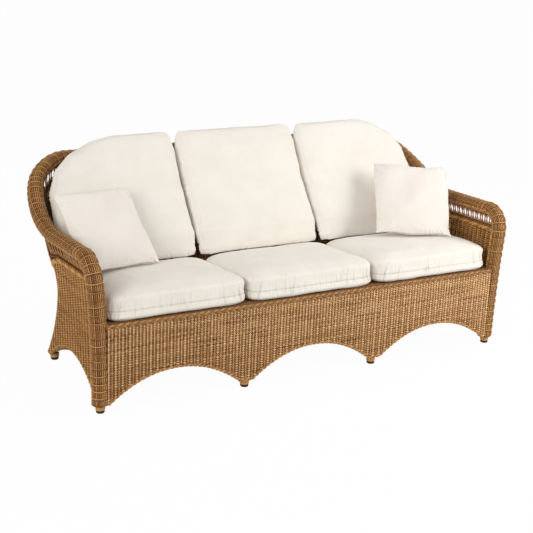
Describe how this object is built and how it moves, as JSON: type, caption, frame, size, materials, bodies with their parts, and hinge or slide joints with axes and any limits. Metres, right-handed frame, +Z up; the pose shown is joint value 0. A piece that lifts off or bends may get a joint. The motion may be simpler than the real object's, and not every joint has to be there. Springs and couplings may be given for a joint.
{
  "type": "rattan garden sofa",
  "caption": "Woven rattan garden sofa with arched hems, rolled arms flowing into a curved back, loose box seat cushions, soft back cushions and scatter pillows.",
  "frame": {"origin": "middle of the base's bounding box, on the floor", "axes": "+X to the viewer's right along the sofa, +Y to the back, +Z up; the sofa faces -Y"},
  "size_m": [1.9392, 0.8645, 0.8825],
  "materials": {
    "frame_tube": "powder coated, satin",
    "weave": "woven strands, two browns",
    "honey_strand": "plaited strands, honey",
    "foot_cane": "wound cane, satin",
    "glide_rubber": "moulded, matte",
    "cushion_cover": "plain woven cover, matte",
    "pillow_cover": "plain woven cover, matte"
  },
  "bodies": {
    "sofa_frame": {"arm_and_back_hoop": "frame_tube", "rear_corner_post_left": "frame_tube", "rear_corner_post_right": "frame_tube", "back_upright_left": "frame_tube", "back_upright_right": "frame_tube", "seat_front_rail": "frame_tube", "seat_rear_rail": "frame_tube", "seat_side_rail_left": "frame_tube", "seat_side_rail_right": "frame_tube", "seat_cross_bar_left": "frame_tube", "seat_cross_bar_right": "frame_tube", "front_middle_leg_left": "frame_tube", "front_middle_leg_right": "frame_tube", "arm_roll_left": "weave", "arm_roll_right": "weave", "rear_corner_roll_left": "weave", "rear_corner_roll_right": "weave", "back_roll": "weave", "arm_moulding_left": "honey_strand", "arm_moulding_right": "honey_strand", "corner_moulding_left": "honey_strand", "corner_moulding_right": "honey_strand", "back_moulding": "honey_strand", "side_panel_left": "weave", "side_panel_right": "weave", "rear_corner_panel_left": "weave", "rear_corner_panel_right": "weave", "back_panel": "weave", "arm_openwork_left": "honey_strand", "arm_openwork_right": "honey_strand", "corner_openwork_left": "honey_strand", "corner_openwork_right": "honey_strand", "back_openwork": "honey_strand", "front_apron": "weave", "seat_edge_roll": "honey_strand", "seat_deck": "weave", "front_corner_foot_wrap_left": "foot_cane", "front_corner_foot_wrap_right": "foot_cane", "front_corner_foot_glide_left": "glide_rubber", "front_corner_foot_glide_right": "glide_rubber", "front_middle_foot_wrap_left": "foot_cane", "front_middle_foot_wrap_right": "foot_cane", "front_middle_foot_glide_left": "glide_rubber", "front_middle_foot_glide_right": "glide_rubber", "rear_corner_foot_wrap_left": "foot_cane", "rear_corner_foot_wrap_right": "foot_cane", "rear_corner_foot_glide_left": "glide_rubber", "rear_corner_foot_glide_right": "glide_rubber", "rear_middle_foot_wrap_left": "foot_cane", "rear_middle_foot_wrap_right": "foot_cane", "rear_middle_foot_glide_left": "glide_rubber", "rear_middle_foot_glide_right": "glide_rubber"},
    "seat_cushion_left": {"seat_cushion_left": "cushion_cover"},
    "seat_cushion_middle": {"seat_cushion_middle": "cushion_cover"},
    "seat_cushion_right": {"seat_cushion_right": "cushion_cover"},
    "back_cushion_left": {"back_cushion_left": "cushion_cover"},
    "back_cushion_middle": {"back_cushion_middle": "cushion_cover"},
    "back_cushion_right": {"back_cushion_right": "cushion_cover"},
    "pillow_left": {"pillow_left": "pillow_cover"},
    "pillow_right": {"pillow_right": "pillow_cover"}
  },
  "joints": [
    {"name": "seat_cushion_left_lift_off", "type": "slide", "parent": "sofa_frame", "child": "seat_cushion_left", "axis": [0, 0, 1], "range_m": [0, 0.58]},
    {"name": "back_cushion_left_lift_off", "type": "slide", "parent": "seat_cushion_left", "child": "back_cushion_left", "axis": [0, 0, 1], "range_m": [0, 0.48]},
    {"name": "seat_cushion_middle_lift_off", "type": "slide", "parent": "sofa_frame", "child": "seat_cushion_middle", "axis": [0, 0, 1], "range_m": [0, 0.58]},
    {"name": "back_cushion_middle_lift_off", "type": "slide", "parent": "seat_cushion_middle", "child": "back_cushion_middle", "axis": [0, 0, 1], "range_m": [0, 0.48]},
    {"name": "seat_cushion_right_lift_off", "type": "slide", "parent": "sofa_frame", "child": "seat_cushion_right", "axis": [0, 0, 1], "range_m": [0, 0.58]},
    {"name": "back_cushion_right_lift_off", "type": "slide", "parent": "seat_cushion_right", "child": "back_cushion_right", "axis": [0, 0, 1], "range_m": [0, 0.48]},
    {"name": "pillow_left_lift_off", "type": "slide", "parent": "back_cushion_left", "child": "pillow_left", "axis": [0, 0, 1], "range_m": [0, 0.44]},
    {"name": "pillow_right_lift_off", "type": "slide", "parent": "back_cushion_right", "child": "pillow_right", "axis": [0, 0, 1], "range_m": [0, 0.44]}
  ]
}
